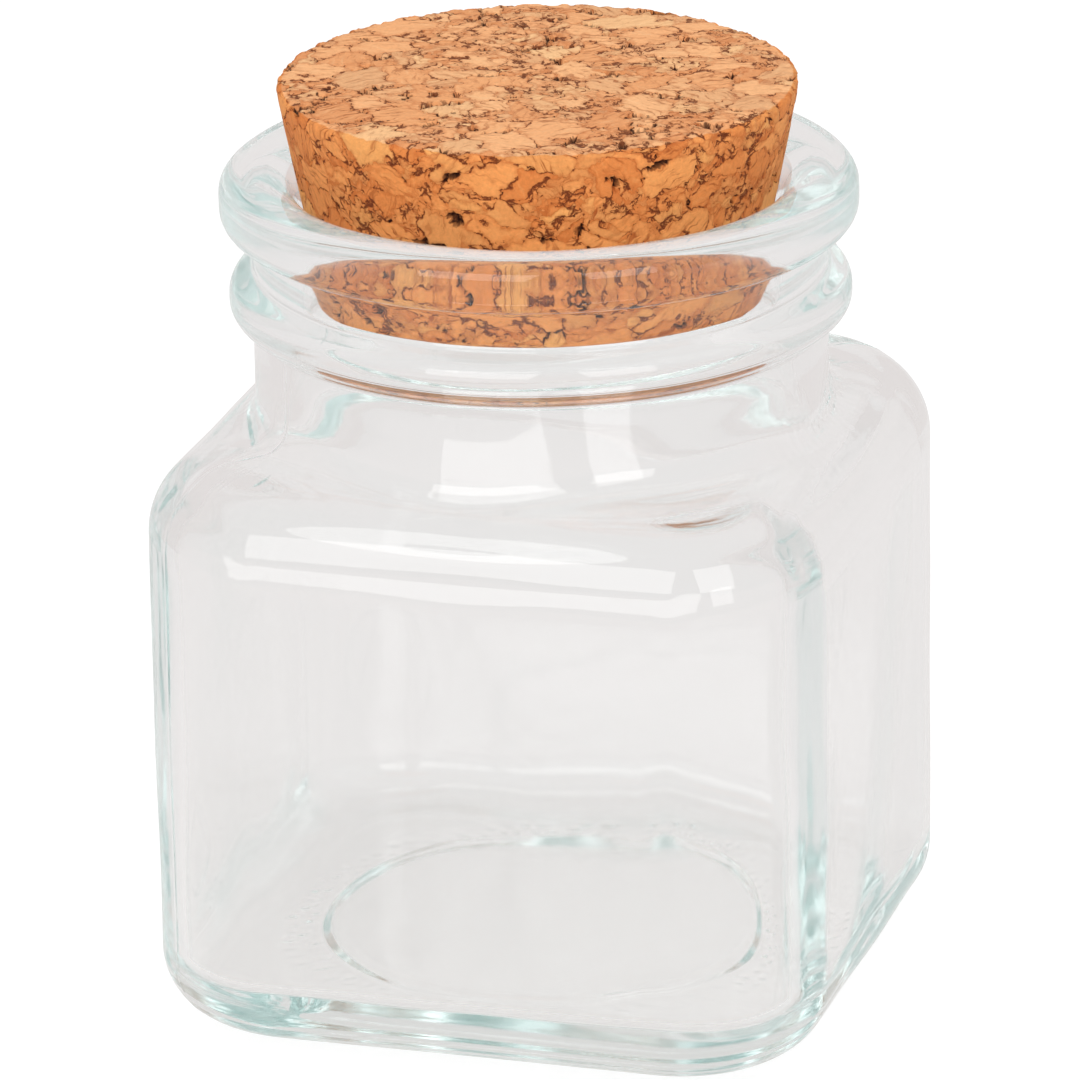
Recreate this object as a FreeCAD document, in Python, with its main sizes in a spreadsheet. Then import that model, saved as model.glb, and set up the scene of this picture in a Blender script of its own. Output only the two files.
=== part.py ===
import FreeCAD, Part
import math
import os
import Sketcher

# Square glass spice jar with a tapered cork stopper, in millimetres, +Z up.
# Two solids: the moulded glass jar, with its square body and round neck, and
# the cork pushed into its mouth. The base rests on Z = 0, and neck and cork
# stand on the Z axis.

doc = FreeCAD.newDocument("square_glass_jar")

# The driving dimensions, one cell each.
sizes = doc.addObject("Spreadsheet::Sheet", "sizes")
driving = [
    ("body_width", "55", "flat to flat, outside"),
    ("body_wall", "2.8", "glass at the sides and under the shoulder"),
    ("floor_thickness", "4.5", "glass of the floor, beside the push-up"),
    ("corner_radius", "11.9", "upright corners, outside"),
    ("base_edge_radius", "5.7", "between base and sides, outside"),
    ("cavity_floor_radius", "6.3", "between floor and sides, inside"),
    ("shoulder_height", "47.4", "base to the flat of the shoulder"),
    ("shoulder_radius", "6.6", "between sides and shoulder, outside"),
    ("cavity_shoulder_radius", "3.8", "between sides and shoulder, inside"),
    ("stand_ring_width", "3.2", "flat between base edge and push-up"),
    ("push_up_depth", "1", "base to the roof of the hollow under it"),
    ("push_up_slope_share", "0.8", "run of its edge as a share of its depth"),
    ("neck_inset", "4.6", "neck's outside, back from the body's flats"),
    ("neck_wall", "4.1", "glass of the neck"),
    ("neck_height", "19.9", "shoulder to the top of the rim"),
    ("neck_root_radius", "2.2", "sweep from the shoulder into the neck"),
    ("bore_root_radius", "1.6", "where the bore opens into the body"),
    ("lip_radius", "3.8", "inner edge of the rim, where the cork seats"),
    ("rim_projection", "2.5", "upper ring, proud of the neck"),
    ("rim_height", "4.6", "upper ring, underside to top"),
    ("rim_edge_radius", "1.7", "outer edges of the upper ring"),
    ("groove_height", "3.25", "neck showing between the two rings"),
    ("bead_projection", "1.9", "lower ring, proud of the neck"),
    ("bead_height", "4.55", "lower ring, underside to top"),
    ("bead_slope_share", "0.6", "rise of its sloped sides, of its projection"),
    ("bead_edge_radius", "2", "outer edges of the lower ring"),
    ("ring_blend_radius", "0.7", "sweep from the neck into both rings"),
    ("edge_limit_share", "0.7", "most of a ledge that its outer rounding takes"),
    ("root_limit_share", "0.28", "most of a ledge that its inner rounding takes"),
    ("cork_above_rim", "7.2", "grip left standing out of the mouth"),
    ("cork_below_rim", "9.8", "plug inside the mouth"),
    ("cork_taper_share", "0.2", "gain of radius as a share of height"),
    ("cork_top_edge_radius", "0.6", "upper edge of the cork"),
    ("cork_bottom_edge_radius", "0.9", "lower edge of the cork"),
    ("cork_clearance", "0.2", "gap between cork and bore at the seat"),
]
for row, (alias, number, note) in enumerate(driving, start=1):
    sizes.set(f"A{row}", alias)
    sizes.set(f"B{row}", number)
    sizes.setAlias(f"B{row}", alias)
    sizes.set(f"C{row}", note)
doc.recompute()

# Heights and half-widths that more than one feature reads.
RIM_TOP = "(sizes.shoulder_height + sizes.neck_height)"
RIM_UNDERSIDE = f"({RIM_TOP} - sizes.rim_height)"
NECK_FOOT = "(sizes.shoulder_height - sizes.shoulder_radius)"
CAVITY_ROOF = "(sizes.shoulder_height - sizes.body_wall)"
BODY_HALF = "(sizes.body_width / 2)"
CAVITY_HALF = f"({BODY_HALF} - sizes.body_wall)"
CAVITY_CORNER = "(sizes.corner_radius - sizes.body_wall)"
NECK_RADIUS = f"({BODY_HALF} - sizes.neck_inset)"
BORE_RADIUS = f"({NECK_RADIUS} - sizes.neck_wall)"

# How a sketch numbers the points of a curve, and its own two axes.
START, END = range(1, 3)
X_AXIS, Y_AXIS = range(-1, -3, -1)


def at_most(size, ledge, share):
    """A rounding's size, limited to a share of the ledge that it lies on."""
    return f"min(sizes.{size}; {ledge} * sizes.{share})"


def value(expression):
    """The present value of an expression over the cells."""
    return float(sizes.evalExpression(expression))


def new_body(name):
    body = doc.addObject("PartDesign::Body", name)
    body.Label = name
    return body


def new_sketch(body, name, plane):
    """A sketch on one of the body's own origin planes."""
    sketch = body.newObject("Sketcher::SketchObject", name)
    support = [f for f in body.Origin.OriginFeatures if f.Role == plane][0]
    sketch.AttachmentSupport = [(support, "")]
    sketch.MapMode = "FlatFace"
    return sketch


def pin(sketch, item, kind, expression):
    """Hold one coordinate of a point of the sketch to an expression."""
    if expression == "0":
        axis = Y_AXIS if kind == "DistanceX" else X_AXIS
        sketch.addConstraint(Sketcher.Constraint("PointOnObject", item, START, axis))
        return
    distance = Sketcher.Constraint(kind, X_AXIS, START, item, START, value(expression))
    index = sketch.addConstraint(distance)
    sketch.setExpression(f"Constraints[{index}]", expression)


def rounded_outline(sketch, corners):
    """A closed outline of straight sides with rounded or sharp corners.

    Each corner is (x, y, radius) in expressions over the cells, and a sharp
    corner has no radius. A construction point holds each corner in its place,
    the sides run through those points, and tangent arcs round them off.
    """
    count = len(corners)
    points = [FreeCAD.Vector(value(x), value(y), 0) for x, y, _ in corners]
    heading = [(points[(i + 1) % count] - points[i]).normalize() for i in range(count)]
    turn = [heading[i - 1].getAngle(heading[i]) for i in range(count)]
    radii = [value(radius) if radius else 0.0 for _, _, radius in corners]
    setback = [radii[i] * math.tan(turn[i] / 2) for i in range(count)]

    marks = []
    for i, (x, y, _) in enumerate(corners):
        mark = sketch.addGeometry(Part.Point(points[i]), True)
        pin(sketch, mark, "DistanceX", x)
        pin(sketch, mark, "DistanceY", y)
        marks.append(mark)

    sides = []
    for i in range(count):
        following = (i + 1) % count
        first = points[i] + heading[i] * setback[i]
        last = points[following] - heading[i] * setback[following]
        sides.append(sketch.addGeometry(Part.LineSegment(first, last)))

    for i, (_, _, radius) in enumerate(corners):
        mark, before, after = marks[i], sides[i - 1], sides[i]
        if radius is None:
            for side, end in ((before, END), (after, START)):
                sketch.addConstraint(Sketcher.Constraint("Coincident", side, end, mark, START))
            continue
        for side in (before, after):
            sketch.addConstraint(Sketcher.Constraint("PointOnObject", mark, START, side))
        first = points[i] - heading[i - 1] * setback[i]
        last = points[i] + heading[i] * setback[i]
        inward = (heading[i] - heading[i - 1]).normalize()
        middle = points[i] + inward * radii[i] * (1 / math.cos(turn[i] / 2) - 1)
        arc = sketch.addGeometry(Part.Arc(first, middle, last))
        turns_left = heading[i - 1].cross(heading[i]).z > 0
        near, far = (START, END) if turns_left else (END, START)
        sketch.addConstraint(Sketcher.Constraint("Tangent", before, END, arc, near))
        sketch.addConstraint(Sketcher.Constraint("Tangent", arc, far, after, START))
        index = sketch.addConstraint(Sketcher.Constraint("Radius", arc, radii[i]))
        sketch.setExpression(f"Constraints[{index}]", radius)
    doc.recompute()


def rounded_square(sketch, half_width, radius):
    """A square about the origin with all four corners rounded."""
    signs = (("-", "-"), ("", "-"), ("", ""), ("-", ""))
    rounded_outline(sketch, [(x + half_width, y + half_width, radius) for x, y in signs])


def turned(body, kind, name, sketch):
    """A full turn of a sketch about its upright axis, added or cut away."""
    feature = body.newObject(f"PartDesign::{kind}", name)
    feature.Profile = sketch
    feature.ReferenceAxis = (sketch, ["V_Axis"])
    doc.recompute()


def fillet(body, name, picks, radius):
    """Round off those edges of the body so far that the test picks."""
    base = body.Tip
    names = [f"Edge{i}" for i, edge in enumerate(base.Shape.Edges, start=1) if picks(edge)]
    feature = body.newObject("PartDesign::Fillet", name)
    feature.Base = (base, names)
    feature.setExpression("Radius", radius)
    doc.recompute()


def spots(edge, count=5):
    """A few points along an edge, enough to tell where it lies."""
    return edge.discretize(Number=count)


def level_edges(height, half_width):
    """A test for edges that lie flat at a height, no further out than a square."""
    near = value("sizes.cork_clearance")
    level = value(height)
    reach = value(half_width) + near

    def picks(edge):
        points = spots(edge)
        inside = all(max(abs(p.x), abs(p.y)) < reach for p in points)
        return inside and all(abs(p.z - level) < near for p in points)

    return picks


def neck_edges(lowest, highest):
    """A test for the rings of edges on the neck's outside, between two heights."""
    near = value("sizes.cork_clearance")
    radius = value(NECK_RADIUS)
    low = value(lowest)
    high = value(highest) + near

    def picks(edge):
        points = spots(edge)
        on_neck = all(abs(math.hypot(p.x, p.y) - radius) < near for p in points)
        is_seam = math.hypot(points[0].x - points[1].x, points[0].y - points[1].y) < near
        return on_neck and not is_seam and all(low < p.z < high for p in points)

    return picks


# Glass jar, outside: a square block with rounded edges, and the neck on it.
jar = new_body("glass_jar")
body_section = new_sketch(jar, "body_section", "XY_Plane")
rounded_square(body_section, BODY_HALF, "sizes.corner_radius")
body_block = jar.newObject("PartDesign::Pad", "body_block")
body_block.Profile = body_section
body_block.setExpression("Length", "sizes.shoulder_height")
doc.recompute()
fillet(jar, "base_edge", level_edges("0", BODY_HALF), "sizes.base_edge_radius")
shoulder_edges = level_edges("sizes.shoulder_height", BODY_HALF)
fillet(jar, "shoulder", shoulder_edges, "sizes.shoulder_radius")

# The neck carries two rings: a round bead, and the rim above it.
RIM_RADIUS = f"({NECK_RADIUS} + sizes.rim_projection)"
RIM_BLEND = at_most("ring_blend_radius", "sizes.rim_projection", "root_limit_share")
RIM_EDGE = at_most("rim_edge_radius", "sizes.rim_projection", "edge_limit_share")
BEAD_TOP = f"({RIM_UNDERSIDE} - sizes.groove_height)"
BEAD_UNDERSIDE = f"({BEAD_TOP} - sizes.bead_height)"
BEAD_RADIUS = f"({NECK_RADIUS} + sizes.bead_projection)"
BEAD_RUN = "(sizes.bead_projection * sizes.bead_slope_share)"
BEAD_FACE = f"(sizes.bead_height - 2 * {BEAD_RUN})"
BEAD_EDGE = at_most("bead_edge_radius", BEAD_FACE, "edge_limit_share")
neck_profile = new_sketch(jar, "neck_profile", "XZ_Plane")
rounded_outline(
    neck_profile,
    [
        ("0", NECK_FOOT, None),
        (NECK_RADIUS, NECK_FOOT, None),
        (NECK_RADIUS, BEAD_UNDERSIDE, "sizes.ring_blend_radius"),
        (BEAD_RADIUS, f"{BEAD_UNDERSIDE} + {BEAD_RUN}", BEAD_EDGE),
        (BEAD_RADIUS, f"{BEAD_TOP} - {BEAD_RUN}", BEAD_EDGE),
        (NECK_RADIUS, BEAD_TOP, "sizes.ring_blend_radius"),
        (NECK_RADIUS, RIM_UNDERSIDE, RIM_BLEND),
        (RIM_RADIUS, RIM_UNDERSIDE, RIM_EDGE),
        (RIM_RADIUS, RIM_TOP, RIM_EDGE),
        ("0", RIM_TOP, None),
    ],
)
turned(jar, "Revolution", "neck", neck_profile)
neck_root = neck_edges(NECK_FOOT, "sizes.shoulder_height")
fillet(jar, "neck_root", neck_root, "sizes.neck_root_radius")

# Glass jar, inside: a square hollow with rounded edges, and the bore above it.
cavity_section = new_sketch(jar, "cavity_section", "XY_Plane")
cavity_section.setExpression("AttachmentOffset.Base.z", "sizes.floor_thickness")
rounded_square(cavity_section, CAVITY_HALF, CAVITY_CORNER)
cavity = jar.newObject("PartDesign::Pocket", "cavity")
cavity.Profile = cavity_section
cavity.Reversed = True
cavity.setExpression("Length", f"{CAVITY_ROOF} - sizes.floor_thickness")
doc.recompute()
cavity_floor = level_edges("sizes.floor_thickness", CAVITY_HALF)
CAVITY_FLOOR = at_most("cavity_floor_radius", CAVITY_CORNER, "edge_limit_share")
fillet(jar, "cavity_floor", cavity_floor, CAVITY_FLOOR)
ROOF_LEDGE = f"({CAVITY_HALF} - {BORE_RADIUS})"
cavity_roof = level_edges(CAVITY_ROOF, CAVITY_HALF)
CAVITY_SHOULDER = at_most("cavity_shoulder_radius", ROOF_LEDGE, "edge_limit_share")
fillet(jar, "cavity_shoulder", cavity_roof, CAVITY_SHOULDER)

bore_profile = new_sketch(jar, "bore_profile", "XZ_Plane")
rounded_outline(
    bore_profile,
    [
        ("0", NECK_FOOT, None),
        (BORE_RADIUS, NECK_FOOT, None),
        (BORE_RADIUS, RIM_TOP, None),
        ("0", RIM_TOP, None),
    ],
)
turned(jar, "Groove", "bore", bore_profile)
LIP = at_most("lip_radius", "(sizes.neck_wall + sizes.rim_projection)", "edge_limit_share")
fillet(jar, "lip", level_edges(RIM_TOP, BORE_RADIUS), LIP)
BORE_ROOT = at_most("bore_root_radius", ROOF_LEDGE, "root_limit_share")
fillet(jar, "bore_root", level_edges(CAVITY_ROOF, BORE_RADIUS), BORE_ROOT)

# Glass jar, underneath: the shallow push-up that leaves a ring to stand on.
PUSH_UP_RADIUS = f"({BODY_HALF} - sizes.base_edge_radius - sizes.stand_ring_width)"
PUSH_UP_RUN = "(sizes.push_up_depth * sizes.push_up_slope_share)"
push_up_profile = new_sketch(jar, "push_up_profile", "XZ_Plane")
rounded_outline(
    push_up_profile,
    [
        ("0", "0", None),
        (PUSH_UP_RADIUS, "0", None),
        (f"{PUSH_UP_RADIUS} - {PUSH_UP_RUN}", "sizes.push_up_depth", "sizes.push_up_depth"),
        ("0", "sizes.push_up_depth", None),
    ],
)
turned(jar, "Groove", "push_up", push_up_profile)

# Cork stopper: a cone that seats on the rounded lip of the mouth.
stopper = new_body("cork_stopper")
CORK_TOP = f"({RIM_TOP} + sizes.cork_above_rim)"
CORK_BOTTOM = f"({RIM_TOP} - sizes.cork_below_rim)"
SEAT = f"({RIM_TOP} - {LIP})"
SEAT_RADIUS = f"({BORE_RADIUS} - sizes.cork_clearance)"
cork_profile = new_sketch(stopper, "cork_profile", "XZ_Plane")
rounded_outline(
    cork_profile,
    [
        ("0", CORK_BOTTOM, None),
        (
            f"{SEAT_RADIUS} - ({SEAT} - {CORK_BOTTOM}) * sizes.cork_taper_share",
            CORK_BOTTOM,
            "sizes.cork_bottom_edge_radius",
        ),
        (
            f"{SEAT_RADIUS} + ({CORK_TOP} - {SEAT}) * sizes.cork_taper_share",
            CORK_TOP,
            "sizes.cork_top_edge_radius",
        ),
        ("0", CORK_TOP, None),
    ],
)
turned(stopper, "Revolution", "cork_cone", cork_profile)

# A cut that points out of the glass leaves it as it was, so each one is compared.
for item in doc.Objects:
    if "Invalid" in item.State or "Error" in item.State:
        raise RuntimeError(f"{item.Label} failed: {item.State}")
    if item.TypeId in ("PartDesign::Pocket", "PartDesign::Groove"):
        if item.Shape.Volume >= item.BaseFeature.Shape.Volume:
            raise RuntimeError(f"{item.Label} cut nothing away")
os.makedirs("parts", exist_ok=True)
for body in (jar, stopper):
    if body.Shape.isNull() or not body.Shape.isValid():
        raise RuntimeError(f"{body.Label} is not a valid solid")
    body.Shape.exportStep(f"parts/{body.Label}.step")
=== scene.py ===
import math

import bpy
import numpy as np
from mathutils import Matrix, Vector


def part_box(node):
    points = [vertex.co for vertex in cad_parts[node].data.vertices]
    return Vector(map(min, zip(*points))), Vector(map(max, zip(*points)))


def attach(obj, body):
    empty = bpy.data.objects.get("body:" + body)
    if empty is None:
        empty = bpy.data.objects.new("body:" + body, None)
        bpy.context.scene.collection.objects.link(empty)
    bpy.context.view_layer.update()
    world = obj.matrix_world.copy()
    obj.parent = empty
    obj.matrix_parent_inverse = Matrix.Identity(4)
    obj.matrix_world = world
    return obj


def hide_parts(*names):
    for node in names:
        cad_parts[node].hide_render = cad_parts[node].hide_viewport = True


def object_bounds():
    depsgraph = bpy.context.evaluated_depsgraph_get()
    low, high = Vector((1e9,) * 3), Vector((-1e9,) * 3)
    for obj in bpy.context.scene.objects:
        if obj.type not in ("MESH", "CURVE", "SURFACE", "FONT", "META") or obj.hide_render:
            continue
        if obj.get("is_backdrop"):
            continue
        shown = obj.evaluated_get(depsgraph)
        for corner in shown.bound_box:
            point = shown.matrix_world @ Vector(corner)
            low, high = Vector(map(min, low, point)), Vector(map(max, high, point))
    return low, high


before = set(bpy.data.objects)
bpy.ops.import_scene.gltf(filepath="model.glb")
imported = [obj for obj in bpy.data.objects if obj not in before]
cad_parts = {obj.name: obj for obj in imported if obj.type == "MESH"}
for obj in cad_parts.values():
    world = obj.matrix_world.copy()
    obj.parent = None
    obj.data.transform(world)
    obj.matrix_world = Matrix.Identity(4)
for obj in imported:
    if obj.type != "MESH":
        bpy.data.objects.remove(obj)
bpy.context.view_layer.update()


# Glass jar: one thick piece of soda-lime glass, blown into a two-part mould.
# The body is square with soft corners and the neck is round, with a bead and
# a heavy rim; the parting line of the mould runs over two opposite corners.
MM = 0.001
_, jar_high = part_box("glass_jar")
body_half = jar_high.x
body_corner = 11.9 * MM
body_wall = 2.8 * MM
base_edge = 5.7 * MM
floor_top = 4.5 * MM
floor_edge = 2.0 * MM
shoulder_top = 47.4 * MM
shoulder_edge = 6.6 * MM
push_up_radius = 18.6 * MM
push_up_depth = 1.0 * MM
push_up_run = 0.8 * MM
neck_radius = body_half - 4.6 * MM
neck_root = 2.2 * MM
bore_radius = neck_radius - 4.1 * MM
lip = 3.8 * MM
rim_top = jar_high.z
rim_underside = rim_top - 4.6 * MM
rim_radius = neck_radius + 2.5 * MM
bead_top = rim_underside - 3.25 * MM
bead_underside = bead_top - 4.55 * MM
bead_radius = neck_radius + 1.9 * MM
bead_run = 1.14 * MM
bead_rounding = 1.6 * MM
rim_rounding = 1.7 * MM
ring_blend = 0.7 * MM
bore_flare = 1.3 * MM
cavity_half = body_half - body_wall
cavity_corner = 7.8 * MM

# The skin is a net of rings and upright columns, with columns crowded at the
# parting line so that its fine ridge has a shape.
seams = np.radians([-135.0, 45.0])
crowd = np.radians([-0.9, -0.6, -0.4, -0.2, 0.2, 0.4, 0.6, 0.9])
columns = np.linspace(-np.pi, np.pi, 368, endpoint=False)
columns = np.unique(np.concatenate([columns, (seams[:, None] + crowd).ravel()]))
skin = []


def square_ring(half, corner):
    """Distance from the axis to a square with rounded corners, column by column."""
    across = np.abs(np.cos(columns))
    along = np.abs(np.sin(columns))
    flat = half / np.maximum(across, along)
    centre = half - corner
    reach = centre * (across + along)
    arc = reach + np.sqrt(np.maximum(reach**2 - 2 * centre**2 + corner**2, 0))
    return np.where(flat * np.minimum(across, along) <= centre, flat, arc)


def add_ring(distance, height, ripple):
    """One ring of the skin, with how far the glass ripples there."""
    whole = np.ones_like(columns)
    skin.append((distance * whole, height * whole, ripple))


def rounded_path(corners, arc_steps=8, straight_steps=5):
    """Points along straight lines whose corners are rounded by their own radius."""
    points = []
    for i in range(1, len(corners) - 1):
        before, here, after = (Vector(corners[j][:2]) for j in (i - 1, i, i + 1))
        way_in = (here - before).normalized()
        way_out = (after - here).normalized()
        turn = way_in.angle(way_out)
        radius = corners[i][2]
        first = here - way_in * radius * math.tan(turn / 2)
        side = (way_out - way_in).normalized()
        centre = here + side * radius / math.cos(turn / 2)
        if points:
            start = points[-1]
            for step in range(1, straight_steps):
                points.append(start.lerp(first, step / straight_steps))
        begin = first - centre
        spin = turn if way_in.x * way_out.y > way_in.y * way_out.x else -turn
        for step in range(arc_steps + 1):
            points.append(centre + Matrix.Rotation(spin * step / arc_steps, 2) @ begin)
    return points


def outward(points):
    """Unit normals of a net of rings, pointing out of the glass."""
    along_column = np.gradient(points, axis=0)
    along_ring = np.roll(points, -1, axis=1) - np.roll(points, 1, axis=1)
    normals = np.cross(along_ring, along_column)
    return normals / np.linalg.norm(normals, axis=2, keepdims=True)


def ring_points(rings):
    """Rings of the skin as points in space."""
    distance = np.array([ring[0] for ring in rings])
    height = np.array([ring[1] for ring in rings])
    return np.stack([distance * np.cos(columns), distance * np.sin(columns), height], axis=2)


# Ripple of the glass on each surface.
outside = 0.035 * MM
inside = 0.045 * MM
still = 0.0

# Underneath: a shallow push-up inside the ring that the jar stands on.
stand_lift = 0.1 * MM
base_dome = 0.12 * MM
disc_edge = push_up_radius - push_up_run
for share in np.linspace(0.08, 1.0, 13):
    add_ring(disc_edge * share, push_up_depth + base_dome * (1 - share**2), outside * share)
for share in np.linspace(0, 1, 11)[1:]:
    fall = 0.5 + 0.5 * math.cos(math.pi * share)
    height = stand_lift + (push_up_depth - stand_lift) * fall
    add_ring(disc_edge + push_up_run * share, height, still)
stand_edge = square_ring(body_half - base_edge, body_corner - base_edge)
for share in np.linspace(0, 1, 16)[1:]:
    add_ring(push_up_radius + (stand_edge - push_up_radius) * share, stand_lift, still)

# Outside of the body: base edge, walls, and the shoulder up to the neck's root.
body_start = len(skin)
for share in np.linspace(0, 1, 19)[1:]:
    turn = share * math.pi / 2
    inset = base_edge * (1 - math.sin(turn))
    height = stand_lift * (1 - share) + base_edge * (1 - math.cos(turn))
    add_ring(square_ring(body_half - inset, body_corner - inset), height, outside * share)
wall_top = shoulder_top - shoulder_edge
for height in np.linspace(base_edge, wall_top, 16)[1:]:
    add_ring(square_ring(body_half, body_corner), height, outside)

bend_start = len(skin) - 1
insets = np.concatenate([
    shoulder_edge * (1 - np.cos(np.linspace(0, math.pi / 2, 120))),
    shoulder_edge + np.linspace(0, body_corner - shoulder_edge, 60)[1:],
])
slope_distance = np.array([square_ring(body_half - d, body_corner - d) for d in insets])
rounding = np.minimum(insets, shoulder_edge)
rise = np.sqrt(shoulder_edge**2 - (shoulder_edge - rounding) ** 2)
slope_height = np.repeat((wall_top + rise)[:, None], len(columns), axis=1)
run = np.gradient(slope_distance, axis=0)
climb = np.gradient(slope_height, axis=0)
length = np.hypot(run, climb)
lean_out = climb / length
lean_up = -run / length
ball_axis = neck_radius + neck_root
meets = np.argmax(slope_distance + neck_root * lean_out <= ball_axis, axis=0)
each = np.arange(len(columns))
touch_inset = insets[meets]
ball_height = slope_height[meets, each] + neck_root * lean_up[meets, each]
touch_angle = np.arctan2(-lean_up[meets, each], -lean_out[meets, each])
for share in np.linspace(0, 1, 25)[1:]:
    turn = share * np.arccos(np.maximum(1 - touch_inset / shoulder_edge, 0))
    inset = shoulder_edge * (1 - np.cos(turn)) + np.maximum(touch_inset - shoulder_edge, 0) * share
    distance = [np.interp(inset[k], insets, slope_distance[:, k]) for k in each]
    height = [np.interp(inset[k], insets, slope_height[:, k]) for k in each]
    add_ring(np.array(distance), np.array(height), outside)
for share in np.linspace(0, 1, 11)[1:]:
    angle = touch_angle + (-math.pi - touch_angle) * share
    distance = ball_axis + neck_root * np.cos(angle)
    add_ring(distance, ball_height + neck_root * np.sin(angle), outside)
bend_end = len(skin)

# Neck, bead, rim and bore, all turned about the upright axis.
neck_lead = 0.6 * MM
neck_start = bead_underside - neck_lead
for share in np.linspace(0, 1, 7)[1:-1]:
    add_ring(neck_radius, ball_height + (neck_start - ball_height) * share, outside)
finish_start = len(skin)
neck_path = rounded_path([
    (neck_radius, neck_start, 0),
    (neck_radius, bead_underside, ring_blend),
    (bead_radius, bead_underside + bead_run, bead_rounding),
    (bead_radius, bead_top - bead_run, bead_rounding),
    (neck_radius, bead_top, ring_blend),
    (neck_radius, rim_underside, ring_blend),
    (rim_radius, rim_underside, rim_rounding),
    (rim_radius, rim_top, rim_rounding),
    (bore_radius, rim_top, lip),
    (bore_radius, bead_underside, 0),
], arc_steps=6, straight_steps=2)
finish_calm = 0.6
for point in neck_path:
    add_ring(point.x, point.y, outside * finish_calm)
for share in np.linspace(0, 1, 12)[1:-1]:
    height = (rim_top - lip) * (1 - share) + ball_height * share
    add_ring(bore_radius + bore_flare * share**2, height, outside)

# Inside of neck root and shoulder: it follows the outside round the bends. The glass
# is thickest at the shoulder's edge and thinnest at the corners, blown out furthest.
bend = ring_points(skin[bend_start:bend_end])
glass_rows = (0, 10, 24, len(bend) - 1)
glass_at_rows = (2.8, 3.7, 2.85, 2.65)
five_row_mean = np.full(5, 0.2)
thickness = np.interp(range(len(bend)), glass_rows, glass_at_rows) * MM
thickness[2:-2] = np.convolve(thickness, five_row_mean, "valid")
even_wall = square_ring(cavity_half, body_corner - body_wall)
corner_glass = even_wall - square_ring(cavity_half, cavity_corner)
thickness = thickness[:, None] + np.linspace(1, 0, len(bend))[:, None] * corner_glass
inner_bend = bend - outward(bend) * thickness[:, :, None]
smoothing_rounds = 8
for _ in range(smoothing_rounds):
    inner_bend[1:-1] = (inner_bend[:-2] + 2 * inner_bend[1:-1] + inner_bend[2:]) / 4
for row in inner_bend[::-1]:
    angle = np.arctan2(row[:, 1], row[:, 0])
    distance = np.interp(columns, angle, np.hypot(row[:, 0], row[:, 1]), period=2 * math.pi)
    add_ring(distance, np.interp(columns, angle, row[:, 2], period=2 * math.pi), still)

# Inside of the body: walls and floor of the square hollow.
for height in np.linspace(wall_top, floor_top + floor_edge, 14)[1:]:
    add_ring(square_ring(cavity_half, cavity_corner), height, inside)
for turn in np.linspace(0, math.pi / 2, 13)[1:]:
    inset = floor_edge * (1 - math.cos(turn))
    height = floor_top + floor_edge * (1 - math.sin(turn))
    add_ring(square_ring(cavity_half - inset, cavity_corner - inset), height, inside)
floor_rim = square_ring(cavity_half - floor_edge, cavity_corner - floor_edge)
for share in np.linspace(1, 0.06, 14)[1:]:
    add_ring(floor_rim * share, floor_top, inside * min(share * 3, 1))

# The rings become points, then the glass ripples along its own normals.
points = ring_points(skin)
normals = outward(points)
ripple_depth = np.array([ring[2] for ring in skin])[:, None]
chance = np.random.default_rng(23)
ripple = np.zeros(points.shape[:2])
for wavelength, strength in ((24 * MM, 0.6), (15 * MM, 0.4), (10 * MM, 0.22)):
    for _ in range(4):
        heading = chance.normal(size=3)
        heading /= np.linalg.norm(heading)
        phase = chance.uniform(0, 2 * math.pi)
        ripple += strength * np.sin(2 * math.pi / wavelength * (points @ heading) + phase)
seam_height = 0.03 * MM
seam_width = 0.16 * MM
ridge = np.zeros(ripple.shape)
reach = np.hypot(points[:, :, 0], points[:, :, 1])
for seam in seams:
    offset = (columns - seam + math.pi) % (2 * math.pi) - math.pi
    ridge += np.exp(-((reach * offset) / seam_width) ** 2)
ridge[:body_start] = 0
ridge[finish_start:] = 0
points += normals * (ripple_depth * ripple + seam_height * ridge)[:, :, None]

count = len(columns)
ring_count = len(skin)
base_centre = ring_count * count
floor_centre = base_centre + 1
corners = points.reshape(-1, 3).tolist()
corners.append((0, 0, points[0, :, 2].mean()))
corners.append((0, 0, points[-1, :, 2].mean()))
faces = []
for k in range(count):
    following = (k + 1) % count
    faces.append((base_centre, following, k))
    for r in range(ring_count - 1):
        low, high = r * count, (r + 1) * count
        faces.append((low + k, low + following, high + following, high + k))
    last = (ring_count - 1) * count
    faces.append((floor_centre, last + k, last + following))
jar_mesh = bpy.data.meshes.new("glass_jar_skin")
jar_mesh.from_pydata(corners, [], faces, shade_flat=False)
glass_jar = bpy.data.objects.new("jar_glass", jar_mesh)
bpy.context.scene.collection.objects.link(glass_jar)


# Clear glass with the faint green of iron in its thick places.
def add_node(tree, kind, values=None, **settings):
    """A node with its settings, and plain values on its named sockets."""
    node = tree.nodes.new(kind)
    for name, setting in settings.items():
        setattr(node, name, setting)
    for name, number in (values or {}).items():
        node.inputs[name].default_value = number
    return node


clear_glass = bpy.data.materials.new("clear_glass")
clear_glass.use_nodes = True
tree = clear_glass.node_tree
tree.nodes.clear()
place = add_node(tree, "ShaderNodeTexCoord")
smear = add_node(tree, "ShaderNodeTexNoise", {"Scale": 90.0, "Detail": 3.0})
smear_range = add_node(tree, "ShaderNodeMapRange", {
    "From Min": 0.3, "From Max": 0.8, "To Min": 0.03, "To Max": 0.07,
})
peel = add_node(tree, "ShaderNodeTexNoise", {"Scale": 320.0, "Detail": 2.0})
peel_bump = add_node(tree, "ShaderNodeBump", {"Strength": 0.03, "Distance": 0.0002})
shader = add_node(tree, "ShaderNodeBsdfPrincipled", {
    "Base Color": (1, 1, 1, 1), "IOR": 1.51, "Transmission Weight": 1.0,
})
see_through = add_node(tree, "ShaderNodeBsdfTransparent", {"Color": (0.93, 0.96, 0.955, 1)})
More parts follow.
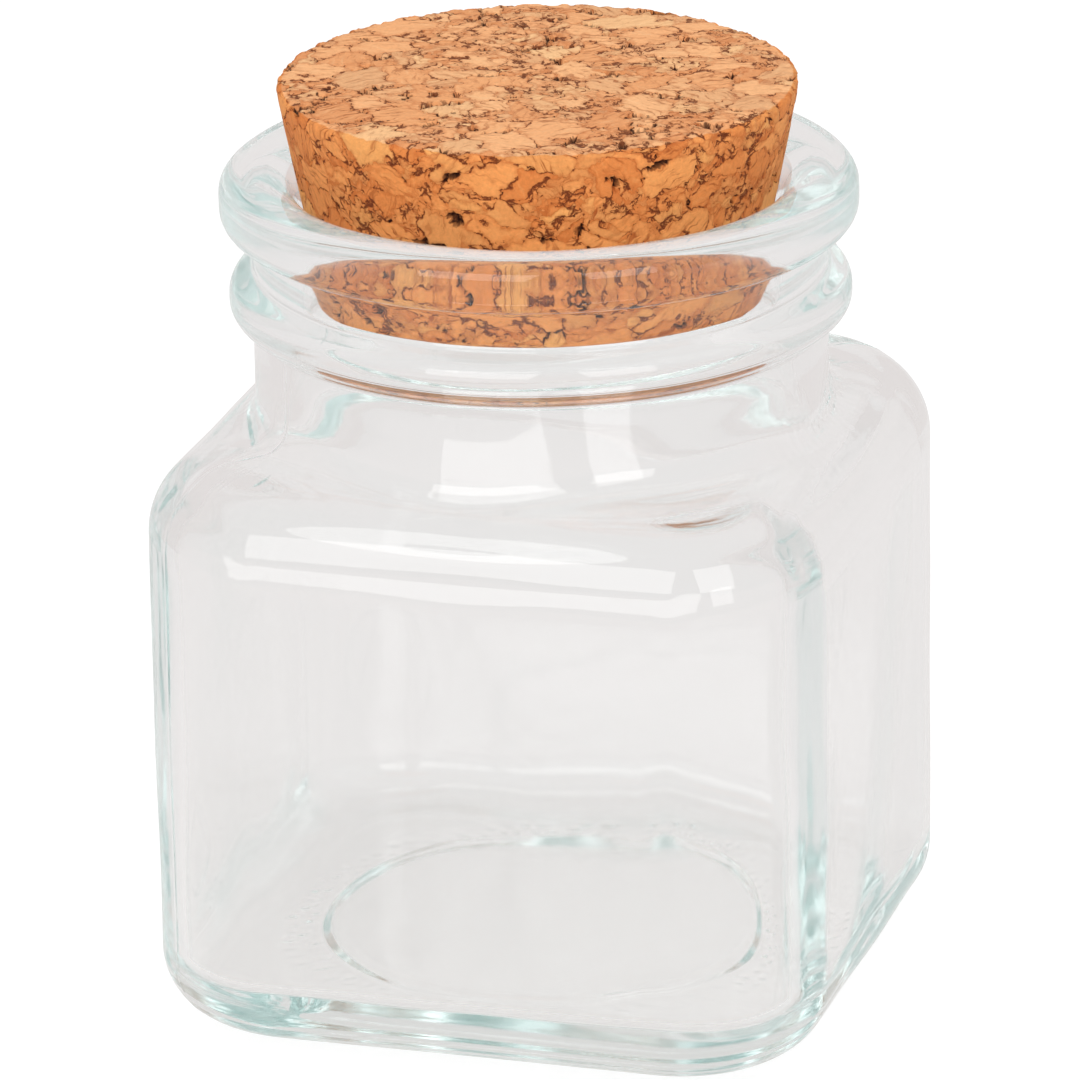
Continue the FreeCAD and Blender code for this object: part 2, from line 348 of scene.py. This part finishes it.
light_path = add_node(tree, "ShaderNodeLightPath")
cast = add_node(tree, "ShaderNodeMixShader")
tint = add_node(tree, "ShaderNodeVolumeAbsorption", {
    "Color": (0.25, 0.7, 0.66, 1), "Density": 2.4,
})
output = add_node(tree, "ShaderNodeOutputMaterial")
tree.links.new(place.outputs["Object"], smear.inputs["Vector"])
tree.links.new(smear.outputs["Fac"], smear_range.inputs["Value"])
tree.links.new(smear_range.outputs["Result"], shader.inputs["Roughness"])
tree.links.new(place.outputs["Object"], peel.inputs["Vector"])
tree.links.new(peel.outputs["Fac"], peel_bump.inputs["Height"])
tree.links.new(peel_bump.outputs["Normal"], shader.inputs["Normal"])
tree.links.new(light_path.outputs["Is Shadow Ray"], cast.inputs["Fac"])
tree.links.new(shader.outputs["BSDF"], cast.inputs[1])
tree.links.new(see_through.outputs["BSDF"], cast.inputs[2])
tree.links.new(cast.outputs["Shader"], output.inputs["Surface"])
tree.links.new(tint.outputs["Volume"], output.inputs["Volume"])

# Light runs many times to and fro in thick glass before it comes out again.
bpy.context.scene.cycles.max_bounces = 96
bpy.context.scene.cycles.glossy_bounces = 64
bpy.context.scene.cycles.transmission_bounces = 96


# The stand ring is stippled: rows of small dots that the jar rests on.
def new_tree(name, inputs):
    """An empty geometry tree with named inputs, and its ends."""
    tree = bpy.data.node_groups.new(name, "GeometryNodeTree")
    tree.interface.new_socket("Geometry", in_out="INPUT", socket_type="NodeSocketGeometry")
    for title, kind in inputs:
        tree.interface.new_socket(title, in_out="INPUT", socket_type=kind)
    tree.interface.new_socket("Geometry", in_out="OUTPUT", socket_type="NodeSocketGeometry")
    return tree, tree.nodes.new("NodeGroupInput"), tree.nodes.new("NodeGroupOutput")


def math_node(tree, operation, *values, clamp=False):
    """The output of one Math node on sockets or plain numbers."""
    node = add_node(tree, "ShaderNodeMath", operation=operation, use_clamp=clamp)
    for socket, value in zip(node.inputs, values):
        if isinstance(value, (int, float)):
            socket.default_value = value
        else:
            tree.links.new(value, socket)
    return node.outputs[0]


def close_tree(tree, geometry, start, end):
    """Realize and set the material, as the last two steps of a tree."""
    realize = add_node(tree, "GeometryNodeRealizeInstances")
    paint = add_node(tree, "GeometryNodeSetMaterial")
    tree.links.new(geometry, realize.inputs["Geometry"])
    tree.links.new(realize.outputs["Geometry"], paint.inputs["Geometry"])
    tree.links.new(start.outputs["Material"], paint.inputs["Material"])
    tree.links.new(paint.outputs["Geometry"], end.inputs["Geometry"])


def run_tree(piece, tree, values):
    """Put a piece through a tree and keep the result as its plain mesh."""
    modifier = piece.modifiers.new(tree.name, "NODES")
    modifier.node_group = tree
    for item in tree.interface.items_tree:
        if item.in_out == "INPUT" and item.name in values:
            modifier[item.identifier] = values[item.name]
    graph = bpy.context.evaluated_depsgraph_get()
    made = bpy.data.meshes.new_from_object(
        piece.evaluated_get(graph), preserve_all_data_layers=True, depsgraph=graph
    )
    piece.modifiers.clear()
    piece.data = made


stipple, start, end = new_tree("heel_stipple", [
    ("Dots per row", "NodeSocketFloat"), ("Dot radius", "NodeSocketFloat"),
    ("Dot height", "NodeSocketFloat"), ("Inner row radius", "NodeSocketFloat"),
    ("Outer row radius", "NodeSocketFloat"), ("Material", "NodeSocketMaterial"),
])
position = add_node(stipple, "GeometryNodeInputPosition").outputs["Position"]
axes = add_node(stipple, "ShaderNodeSeparateXYZ")
stipple.links.new(position, axes.inputs[0])
x, y, z = axes.outputs
angle = math_node(stipple, "ARCTAN2", y, x)
reach = math_node(stipple, "SQRT", math_node(
    stipple, "ADD", math_node(stipple, "MULTIPLY", x, x), math_node(stipple, "MULTIPLY", y, y)
))
ground_zone = 0.3 * MM
row_scatter = 0.9 * MM
under = math_node(stipple, "LESS_THAN", z, ground_zone)
drop = None
for row, half_step in (("Inner row radius", 0.0), ("Outer row radius", 0.5)):
    pitch = math_node(stipple, "DIVIDE", 2 * math.pi, start.outputs["Dots per row"])
    step = math_node(stipple, "ADD", math_node(stipple, "DIVIDE", angle, pitch), half_step)
    uneven = add_node(stipple, "FunctionNodeRandomValue", data_type="FLOAT_VECTOR")
    stipple.links.new(math_node(stipple, "FLOOR", step), uneven.inputs["ID"])
    uneven.inputs["Seed"].default_value = int(half_step * 10) + 3
    chances = add_node(stipple, "ShaderNodeSeparateXYZ")
    stipple.links.new(uneven.outputs[0], chances.inputs[0])
    off_step = math_node(stipple, "MULTIPLY_ADD", chances.outputs["X"], 0.4, 0.3)
    aside = math_node(stipple, "SUBTRACT", math_node(stipple, "FRACT", step), off_step)
    arc = math_node(
        stipple, "MULTIPLY", math_node(stipple, "MULTIPLY", aside, pitch), start.outputs[row]
    )
    off_row = math_node(
        stipple, "MULTIPLY_ADD", chances.outputs["Y"], row_scatter, -row_scatter / 2
    )
    out = math_node(stipple, "SUBTRACT", math_node(
        stipple, "SUBTRACT", reach, start.outputs[row]), off_row)
    gap = math_node(stipple, "SQRT", math_node(
        stipple, "ADD", math_node(stipple, "MULTIPLY", arc, arc),
        math_node(stipple, "MULTIPLY", out, out),
    ))
    dome = add_node(stipple, "ShaderNodeMapRange", {"To Min": 1.0, "To Max": 0.0},
                    interpolation_type="SMOOTHSTEP")
    stipple.links.new(gap, dome.inputs["Value"])
    stipple.links.new(start.outputs["Dot radius"], dome.inputs["From Max"])
    height = math_node(stipple, "MULTIPLY_ADD", chances.outputs["Z"], 0.8, 0.2)
    mask = math_node(stipple, "MULTIPLY", dome.outputs["Result"], math_node(
        stipple, "MULTIPLY", under, height))
    drop = mask if drop is None else math_node(stipple, "ADD", drop, mask)
down = math_node(
    stipple, "MULTIPLY", math_node(stipple, "MULTIPLY", drop, start.outputs["Dot height"]), -1.0
)
shift = add_node(stipple, "ShaderNodeCombineXYZ")
stipple.links.new(down, shift.inputs["Z"])
move = add_node(stipple, "GeometryNodeSetPosition")
stipple.links.new(start.outputs["Geometry"], move.inputs["Geometry"])
stipple.links.new(shift.outputs["Vector"], move.inputs["Offset"])
close_tree(stipple, move.outputs["Geometry"], start, end)
run_tree(glass_jar, stipple, {
    "Dots per row": 72.0, "Dot radius": 0.55 * MM, "Dot height": stand_lift,
    "Inner row radius": 19.8 * MM, "Outer row radius": 21.1 * MM, "Material": clear_glass,
})
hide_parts("glass_jar")
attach(glass_jar, "jar")


# Cork stopper: a tapered plug turned from pressed cork granules. It is pushed
# into the mouth by hand and holds there by friction on the rounded lip.
plug_low, plug_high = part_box("cork_stopper")
plug_top = plug_high.z
plug_bottom = plug_low.z
relief_allowance = 0.12 * MM
top_radius = plug_high.x + relief_allowance
taper = 0.2
top_edge = 0.5 * MM
bottom_edge = 0.9 * MM
bottom_radius = top_radius - taper * (plug_top - plug_bottom)

# Both ends are square nets drawn out to discs, and the side joins their borders.
cells = 150
steps = np.linspace(-1, 1, cells + 1)
across, along = np.meshgrid(steps, steps)
wide = np.abs(across) > np.abs(along)
size = np.where(wide, across, along)
other = np.where(wide, along, across)
turn = math.pi / 4 * other / np.where(size == 0, 1, size)
disc_x = np.where(wide, size * np.cos(turn), size * np.sin(turn))
disc_y = np.where(wide, size * np.sin(turn), size * np.cos(turn))
net = np.arange((cells + 1) ** 2).reshape(cells + 1, cells + 1)
border = np.concatenate([net[0, :-1], net[:-1, -1], net[-1, :0:-1], net[:0:-1, 0]])
border_x = disc_x.ravel()[border]
border_y = disc_y.ravel()[border]

side_path = rounded_path([
    (0, plug_top, 0),
    (top_radius, plug_top, top_edge),
    (bottom_radius, plug_bottom, bottom_edge),
    (0, plug_bottom, 0),
], arc_steps=6, straight_steps=62)
flat_disc = np.stack([disc_x.ravel(), disc_y.ravel(), np.zeros(disc_x.size)], axis=1)
top_net = flat_disc * side_path[0].x + (0, 0, plug_top)
bottom_net = flat_disc * side_path[-1].x + (0, 0, plug_bottom)
side_rings = [
    np.stack([border_x * p.x, border_y * p.x, np.full(border_x.shape, p.y)], axis=1)
    for p in side_path[1:-1]
]
corners = np.concatenate([top_net, bottom_net] + side_rings)
lower = net.size
quads = np.stack([net[:-1, :-1], net[:-1, 1:], net[1:, 1:], net[1:, :-1]], axis=2).reshape(-1, 4)
faces = [tuple(q) for q in quads] + [tuple(q[::-1] + lower) for q in quads]
round_count = len(border)
loops = [border] + [
    2 * lower + i * round_count + np.arange(round_count) for i in range(len(side_rings))
] + [border + lower]
for upper_loop, lower_loop in zip(loops[:-1], loops[1:]):
    ahead = np.roll(np.arange(round_count), -1)
    faces += [
        (upper_loop[k], lower_loop[k], lower_loop[ahead[k]], upper_loop[ahead[k]])
        for k in range(round_count)
    ]
cork_mesh = bpy.data.meshes.new("cork_skin")
cork_mesh.from_pydata(corners.tolist(), [], [tuple(map(int, f)) for f in faces], shade_flat=False)
turned = np.ones(len(corners), np.float32)
turned[:2 * lower] = 0
cork_mesh.attributes.new("turned", "FLOAT", "POINT").data.foreach_set("value", turned)
cork_stopper = bpy.data.objects.new("stopper_cork", cork_mesh)
bpy.context.scene.collection.objects.link(cork_stopper)


# The granules are one pattern, built alike in the relief and in the colour.
def vector_node(tree, operation, *values):
    """The output of one Vector Math node on sockets or plain numbers."""
    node = add_node(tree, "ShaderNodeVectorMath", operation=operation)
    for socket, value in zip(node.inputs, values):
        if hasattr(value, "is_linked"):
            tree.links.new(value, socket)
        else:
            socket.default_value = value
    return node.outputs["Value" if operation in ("DOT_PRODUCT", "LENGTH") else "Vector"]


def noise_node(tree, place, scale, detail=2.0, rough=0.5):
    """A noise texture read at a place in millimetres."""
    node = add_node(tree, "ShaderNodeTexNoise", {
        "Scale": scale, "Detail": detail, "Roughness": rough,
    })
    tree.links.new(place, node.inputs["Vector"])
    return node


def ramp_down(tree, value, start, end):
    """One below the start, falling smoothly to nothing at the end."""
    node = add_node(tree, "ShaderNodeMapRange", {
        "From Min": start, "From Max": end, "To Min": 1.0, "To Max": 0.0,
    }, interpolation_type="SMOOTHSTEP")
    tree.links.new(value, node.inputs["Value"])
    return node.outputs["Result"]


def granules(tree, place):
    """Cork granules at a place in millimetres: their cells, cracks and pits."""
    warp = noise_node(tree, place, 0.26, 2.0, 0.6)
    swing = vector_node(tree, "SUBTRACT", warp.outputs["Color"], (0.5, 0.5, 0.5))
    fray = noise_node(tree, place, 1.1, 3.0, 0.65)
    fringe = vector_node(tree, "SUBTRACT", fray.outputs["Color"], (0.5, 0.5, 0.5))
    bent = vector_node(tree, "ADD", place, vector_node(tree, "MULTIPLY", swing, (6.0, 6.0, 3.6)))
    bent = vector_node(tree, "ADD", bent, vector_node(tree, "MULTIPLY", fringe, (1.7, 1.7, 1.2)))
    pressed = vector_node(tree, "MULTIPLY", bent, (1.0, 1.0, 1.8))
    cells = []
    for per_mm in (0.25, 0.55):
        cell = add_node(tree, "ShaderNodeTexVoronoi", {"Scale": per_mm})
        gap = add_node(tree, "ShaderNodeTexVoronoi", {"Scale": per_mm}, feature="DISTANCE_TO_EDGE")
        tree.links.new(pressed, cell.inputs["Vector"])
        tree.links.new(pressed, gap.inputs["Vector"])
        cells += [cell, math_node(tree, "DIVIDE", gap.outputs["Distance"], per_mm)]
    flake, flake_edge, crumb, crumb_edge = cells
    chances = add_node(tree, "ShaderNodeSeparateXYZ")
    tree.links.new(flake.outputs["Color"], chances.inputs[0])
    whole_share = 0.64
    far_off = 9.0
    crumbly = math_node(tree, "GREATER_THAN", chances.outputs["Z"], whole_share)
    edge = math_node(tree, "MINIMUM", flake_edge, math_node(
        tree, "MULTIPLY_ADD", math_node(tree, "SUBTRACT", 1.0, crumbly), far_off, crumb_edge
    ))
    thin = noise_node(tree, place, 0.7, 3.0, 0.65)
    joint_width = math_node(tree, "MULTIPLY_ADD", thin.outputs["Fac"], 1.7, -0.82)
    joint_width = math_node(tree, "MAXIMUM", joint_width, 0.004)
    into_joint = math_node(tree, "DIVIDE", edge, joint_width)
    crack = math_node(tree, "SUBTRACT", 1.0, into_joint, clamp=True)
    gappy = noise_node(tree, place, 0.45, 2.0, 0.55)
    open_joint = math_node(tree, "MULTIPLY_ADD", gappy.outputs["Fac"], 9.0, -5.3, clamp=True)
    pit_reach = math_node(tree, "MULTIPLY_ADD", open_joint, 0.6, 0.001)
    into_pit = math_node(tree, "DIVIDE", flake_edge, pit_reach)
    pit = math_node(tree, "SUBTRACT", 1.0, into_pit, clamp=True)
    return flake, crumb, crumbly, edge, crack, pit


cork = bpy.data.materials.new("pressed_cork")
cork.use_nodes = True
tree = cork.node_tree
tree.nodes.clear()
rest = add_node(tree, "ShaderNodeAttribute", attribute_name="rest")
per_metre = (1000, 1000, 1000)
place = vector_node(tree, "MULTIPLY", rest.outputs["Vector"], per_metre)
flake, crumb, crumbly, edge, crack, pit = granules(tree, place)
own = add_node(tree, "ShaderNodeMix", data_type="RGBA")
tree.links.new(crumbly, own.inputs["Factor"])
tree.links.new(flake.outputs["Color"], own.inputs["A"])
tree.links.new(crumb.outputs["Color"], own.inputs["B"])
chances = add_node(tree, "ShaderNodeSeparateXYZ")
tree.links.new(own.outputs["Result"], chances.inputs[0])
tones = add_node(tree, "ShaderNodeValToRGB")
stops = (
    (0.0, (224, 150, 96)), (0.22, (235, 165, 110)), (0.45, (242, 177, 123)),
    (0.62, (245, 183, 129)), (0.8, (229, 171, 121)), (1.0, (247, 196, 141)),
)


def tone(red, green, blue):
    """A colour as it is read off a screen, made linear."""
    return tuple(((v / 255 + 0.055) / 1.055) ** 2.4 for v in (red, green, blue)) + (1.0,)


while len(tones.color_ramp.elements) < len(stops):
    tones.color_ramp.elements.new(0.5)
for element, (spot, shade) in zip(tones.color_ramp.elements, stops):
    element.position = spot
    element.color = tone(*shade)
tree.links.new(chances.outputs["X"], tones.inputs["Fac"])

# Each granule is layered its own way, with wavy growth lines dark and pale.
heading = vector_node(tree, "NORMALIZE", vector_node(
    tree, "SUBTRACT", own.outputs["Result"], (0.5, 0.5, 0.5)
))
waver = noise_node(tree, place, 0.5, 2.0, 0.6)
swayed = vector_node(tree, "MULTIPLY_ADD", waver.outputs["Color"], (1.6, 1.6, 1.6), place)
depth = math_node(tree, "MULTIPLY", vector_node(tree, "DOT_PRODUCT", swayed, heading), 6.0)
across = add_node(tree, "ShaderNodeCombineXYZ")
for socket in across.inputs:
    tree.links.new(depth, socket)
layered = vector_node(tree, "MULTIPLY_ADD", heading, across.outputs["Vector"], swayed)
layers = noise_node(tree, layered, 0.42, 3.0, 0.6).outputs["Fac"]
dark_line = math_node(tree, "POWER", ramp_down(tree, layers, 0.3, 0.5), 1.3)
pale_line = math_node(tree, "MULTIPLY_ADD", layers, 5.0, -2.75, clamp=True)
strong = math_node(tree, "MULTIPLY_ADD", chances.outputs["Y"], 0.9, 0.25, clamp=True)
dark_line = math_node(tree, "MULTIPLY", dark_line, strong)
grain = noise_node(tree, place, 3.2, 4.0, 0.65)
grain_shade = add_node(tree, "ShaderNodeMapRange", {
    "From Min": 0.3, "From Max": 0.7, "To Min": 0.88, "To Max": 1.08,
})
tree.links.new(grain.outputs["Fac"], grain_shade.inputs["Value"])


def blend(tree, factor, first, second, kind="MIX"):
    """One colour laid over another by a factor."""
    node = add_node(tree, "ShaderNodeMix", data_type="RGBA", blend_type=kind)
    for name, value in (("Factor", factor), ("A", first), ("B", second)):
        socket = [s for s in node.inputs if s.name == name and s.enabled][0]
        if hasattr(value, "is_linked"):
            tree.links.new(value, socket)
        else:
            socket.default_value = value
    return [s for s in node.outputs if s.enabled][0]


colour = blend(tree, 1.0, tones.outputs["Color"], grain_shade.outputs["Result"], "MULTIPLY")
colour = blend(tree, math_node(tree, "MULTIPLY", pale_line, 0.3), colour, tone(252, 210, 160))
colour = blend(tree, math_node(tree, "MULTIPLY", dark_line, 0.85), colour, tone(160, 84, 38))
# Painted shade: each granule darkens to red-brown towards its joints, standing in for the shade in
# the crevices between granules.
painted_joint_shade = ramp_down(tree, edge, 0.0, 0.5)
colour = blend(tree, math_node(tree, "MULTIPLY", painted_joint_shade, 0.4), colour, tone(186, 98, 44))
colour = blend(tree, math_node(tree, "POWER", crack, 0.6), colour, tone(112, 54, 24))
# Painted shade: the pits between granules are filled near-black, standing in for the shade deep
# inside them.
colour = blend(tree, math_node(tree, "POWER", pit, 0.5), colour, tone(44, 16, 6))
# The turned side is drawn darker and more orange than the two ends.
side = add_node(tree, "ShaderNodeAttribute", attribute_name="turned").outputs["Fac"]
side_shade = (0.90, 0.68, 0.43, 1)
colour = blend(tree, side, colour, blend(tree, 1.0, colour, side_shade, "MULTIPLY"))
relief = math_node(tree, "ADD", math_node(tree, "MULTIPLY", grain.outputs["Fac"], 0.25), math_node(
    tree, "MULTIPLY", dark_line, -0.4
))
relief = math_node(tree, "ADD", relief, math_node(tree, "MULTIPLY", crack, -0.8))
bump = add_node(tree, "ShaderNodeBump", {"Strength": 0.55, "Distance": 0.00025})
tree.links.new(relief, bump.inputs["Height"])
roughness = add_node(tree, "ShaderNodeMapRange", {"To Min": 0.75, "To Max": 0.95})
tree.links.new(grain.outputs["Fac"], roughness.inputs["Value"])
shader = add_node(tree, "ShaderNodeBsdfPrincipled", {"Specular IOR Level": 0.25})
output = add_node(tree, "ShaderNodeOutputMaterial")
tree.links.new(colour, shader.inputs["Base Color"])
tree.links.new(roughness.outputs["Result"], shader.inputs["Roughness"])
tree.links.new(bump.outputs["Normal"], shader.inputs["Normal"])
tree.links.new(shader.outputs["BSDF"], output.inputs["Surface"])

# The same cracks and pits sink the skin, and the top edge is chipped.
crumble, start, end = new_tree("cork_relief", [
    ("Crack depth", "NodeSocketFloat"), ("Pit depth", "NodeSocketFloat"),
    ("Granule rise", "NodeSocketFloat"), ("Chip depth", "NodeSocketFloat"),
    ("Edge height", "NodeSocketFloat"), ("Edge radius", "NodeSocketFloat"),
    ("Material", "NodeSocketMaterial"),
])
position = add_node(crumble, "GeometryNodeInputPosition").outputs["Position"]
keep = add_node(crumble, "GeometryNodeStoreNamedAttribute", {"Name": "rest"},
                data_type="FLOAT_VECTOR", domain="POINT")
crumble.links.new(start.outputs["Geometry"], keep.inputs["Geometry"])
crumble.links.new(position, [s for s in keep.inputs if s.name == "Value" and s.enabled][0])
place = vector_node(crumble, "MULTIPLY", position, per_metre)
flake, crumb, crumbly, edge, crack, pit = granules(crumble, place)
chances = add_node(crumble, "ShaderNodeSeparateXYZ")
crumble.links.new(flake.outputs["Color"], chances.inputs[0])
lift = math_node(crumble, "MULTIPLY", math_node(
    crumble, "SUBTRACT", chances.outputs["X"], 0.9), start.outputs["Granule rise"])
sink = math_node(crumble, "ADD", math_node(
    crumble, "MULTIPLY", crack, start.outputs["Crack depth"]
), math_node(crumble, "MULTIPLY", pit, start.outputs["Pit depth"]))
axes = add_node(crumble, "ShaderNodeSeparateXYZ")
crumble.links.new(position, axes.inputs[0])
x, y, z = axes.outputs
reach = math_node(crumble, "SQRT", math_node(
    crumble, "ADD", math_node(crumble, "MULTIPLY", x, x), math_node(crumble, "MULTIPLY", y, y)
))
from_top = math_node(crumble, "SUBTRACT", start.outputs["Edge height"], z)
from_side = math_node(crumble, "ABSOLUTE", math_node(
    crumble, "SUBTRACT", reach, start.outputs["Edge radius"]))
near_edge = ramp_down(crumble, math_node(crumble, "ADD", from_top, from_side), 0.4 * MM, 1.5 * MM)
chipped = noise_node(crumble, place, 0.75, 3.0, 0.65)
chip = math_node(crumble, "MULTIPLY", math_node(
    crumble, "MULTIPLY_ADD", chipped.outputs["Fac"], 3.0, -1.2, clamp=True
), math_node(crumble, "MULTIPLY", near_edge, start.outputs["Chip depth"]))
offset = math_node(crumble, "SUBTRACT", lift, math_node(crumble, "ADD", sink, chip))
normal = add_node(crumble, "GeometryNodeInputNormal").outputs["Normal"]
push = add_node(crumble, "ShaderNodeVectorMath", operation="SCALE")
crumble.links.new(normal, push.inputs[0])
crumble.links.new(offset, push.inputs["Scale"])
move = add_node(crumble, "GeometryNodeSetPosition")
crumble.links.new(keep.outputs["Geometry"], move.inputs["Geometry"])
crumble.links.new(push.outputs["Vector"], move.inputs["Offset"])
close_tree(crumble, move.outputs["Geometry"], start, end)
run_tree(cork_stopper, crumble, {
    "Crack depth": 0.1 * MM, "Pit depth": 0.8 * MM, "Granule rise": 0.07 * MM,
    "Chip depth": 0.35 * MM, "Edge height": plug_top, "Edge radius": top_radius,
    "Material": cork,
})
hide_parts("cork_stopper")
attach(cork_stopper, "cork")


# Studio floor: a plain pale sheet under the jar, seen white as in the picture,
# that still takes a faint shadow where the jar stands.
floor_mesh = bpy.data.meshes.new("floor_sheet")
sheet = 3.0
sheet_drop = 0.2 * MM
floor_mesh.from_pydata(
    [(-sheet, -sheet, 0), (sheet, -sheet, 0), (sheet, sheet, 0), (-sheet, sheet, 0)],
    [], [(0, 1, 2, 3)],
)
floor_mesh.transform(Matrix.Translation((0, 0, -sheet_drop)))
studio_floor = bpy.data.objects.new("studio_floor", floor_mesh)
bpy.context.scene.collection.objects.link(studio_floor)
paper = bpy.data.materials.new("pale_paper")
paper.use_nodes = True
tree = paper.node_tree
tree.nodes.clear()


def background_rays(tree):
    """A mask of rays that see the background, and of those straight from the camera."""
    rays = add_node(tree, "ShaderNodeLightPath")
    direct = rays.outputs["Is Camera Ray"]
    seen = math_node(tree, "MAXIMUM", direct, rays.outputs["Is Glossy Ray"])
    return math_node(tree, "MAXIMUM", seen, rays.outputs["Is Transmission Ray"]), direct


def behind_jar(tree, place, near_side, far_side):
    """A colour that changes from the camera's side of the jar to the far side."""
    lens_heading = (-0.289, 0.957, 0)
    ahead = vector_node(tree, "DOT_PRODUCT", place, lens_heading)
    return blend(tree, ramp_down(tree, ahead, -0.25, 0.45), far_side, near_side)


seen, direct = background_rays(tree)
matt = add_node(tree, "ShaderNodeBsdfDiffuse", {"Color": (0.85, 0.85, 0.85, 1)})
faint = add_node(tree, "ShaderNodeBsdfDiffuse", {"Color": (0.3, 0.3, 0.3, 1)})
glow = add_node(tree, "ShaderNodeEmission", {"Strength": 1.0})
spread = (10, 10, 10)
spot = vector_node(tree, "MULTIPLY", add_node(tree, "ShaderNodeTexCoord").outputs["Object"], spread)
# Painted shade on the sheet: seen through the glass, its glow is a little darker on the far side of
# the jar, evening out the lamp light that falls there.
through_glass = behind_jar(tree, spot, (0.57, 0.545, 0.535, 1), (0.512, 0.485, 0.478, 1))
seen_white = (0.78, 0.78, 0.78, 1)
tree.links.new(blend(tree, direct, through_glass, seen_white), glow.inputs["Color"])
white = add_node(tree, "ShaderNodeAddShader")
choose = add_node(tree, "ShaderNodeMixShader")
output = add_node(tree, "ShaderNodeOutputMaterial")
tree.links.new(faint.outputs["BSDF"], white.inputs[0])
tree.links.new(glow.outputs["Emission"], white.inputs[1])
tree.links.new(seen, choose.inputs["Fac"])
tree.links.new(matt.outputs["BSDF"], choose.inputs[1])
tree.links.new(white.outputs["Shader"], choose.inputs[2])
tree.links.new(choose.outputs["Shader"], output.inputs["Surface"])
floor_mesh.materials.append(paper)
studio_floor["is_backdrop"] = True

# Studio walls: white to the camera, and a little darker on its own side of the jar
# for what is seen bent through the glass; the ceiling lights from above.
world = bpy.data.worlds.new("white_studio")
bpy.context.scene.world = world
world.use_nodes = True
tree = world.node_tree
tree.nodes.clear()
seen, direct = background_rays(tree)
heading = add_node(tree, "ShaderNodeTexCoord").outputs["Generated"]
backdrop = add_node(tree, "ShaderNodeBackground", {"Strength": 1.0})
through_glass = behind_jar(tree, heading, (0.57, 0.65, 0.64, 1), (0.765, 0.725, 0.715, 1))
tree.links.new(blend(tree, direct, through_glass, (1, 1, 1, 1)), backdrop.inputs["Color"])
ambient = add_node(tree, "ShaderNodeBackground", {"Color": (1, 1, 1, 1)})
upward = add_node(tree, "ShaderNodeSeparateXYZ")
tree.links.new(heading, upward.inputs[0])
ceiling = math_node(tree, "MULTIPLY_ADD", upward.outputs["Z"], 0.85, 0.36)
tree.links.new(ceiling, ambient.inputs["Strength"])
choose = add_node(tree, "ShaderNodeMixShader")
output = add_node(tree, "ShaderNodeOutputWorld")
tree.links.new(seen, choose.inputs["Fac"])
tree.links.new(ambient.outputs["Background"], choose.inputs[1])
tree.links.new(backdrop.outputs["Background"], choose.inputs[2])
tree.links.new(choose.outputs["Shader"], output.inputs["Surface"])


# Studio lamps: two upright soft boxes, one on each side of the camera.
def soft_box(name, compass, height, width, tall, glow):
    """A rectangular soft light a metre from the jar, facing it."""
    lamp = bpy.data.lights.new(name, "AREA")
    lamp.shape = "RECTANGLE"
    lamp.size = width
    lamp.size_y = tall
    lamp.energy = glow * math.pi * width * tall
    holder = bpy.data.objects.new(name, lamp)
    bpy.context.scene.collection.objects.link(holder)
    turn = math.radians(compass)
    holder.location = (math.cos(turn), math.sin(turn), height)
    aim = Vector((0, 0, 0.045)) - holder.location
    holder.rotation_euler = aim.to_track_quat("-Z", "Y").to_euler()


soft_box("left_soft_box", -96.5, 0.43, 0.75, 0.6, 2.5)
soft_box("right_soft_box", -44.5, 0.43, 0.48, 0.6, 2.5)

# Camera: a long lens, a little to the right of the front and looking down.
swing = math.radians(16.79)
pitch = math.radians(19.86)
tilt = math.radians(-1.0)
level = math.cos(pitch)
back = Vector((math.sin(swing) * level, -math.cos(swing) * level, math.sin(pitch)))
right = Vector((math.cos(swing), math.sin(swing), 0))
up = back.cross(right)
tilted_right = math.cos(tilt) * right + math.sin(tilt) * up
tilted_up = math.cos(tilt) * up - math.sin(tilt) * right
distance = 0.770
target = right * -0.42 * MM + Vector((0, 0, 35.63 * MM))
lens = bpy.data.cameras.new("long_lens")
lens.sensor_width = 36.0
lens.lens = 319.5
camera = bpy.data.objects.new("camera", lens)
bpy.context.scene.collection.objects.link(camera)
turned = Matrix((tilted_right, tilted_up, back)).transposed().to_4x4()
camera.matrix_world = Matrix.Translation(target + back * distance) @ turned
bpy.context.scene.camera = camera
bpy.context.scene.view_settings.view_transform = "Standard"

low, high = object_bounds()
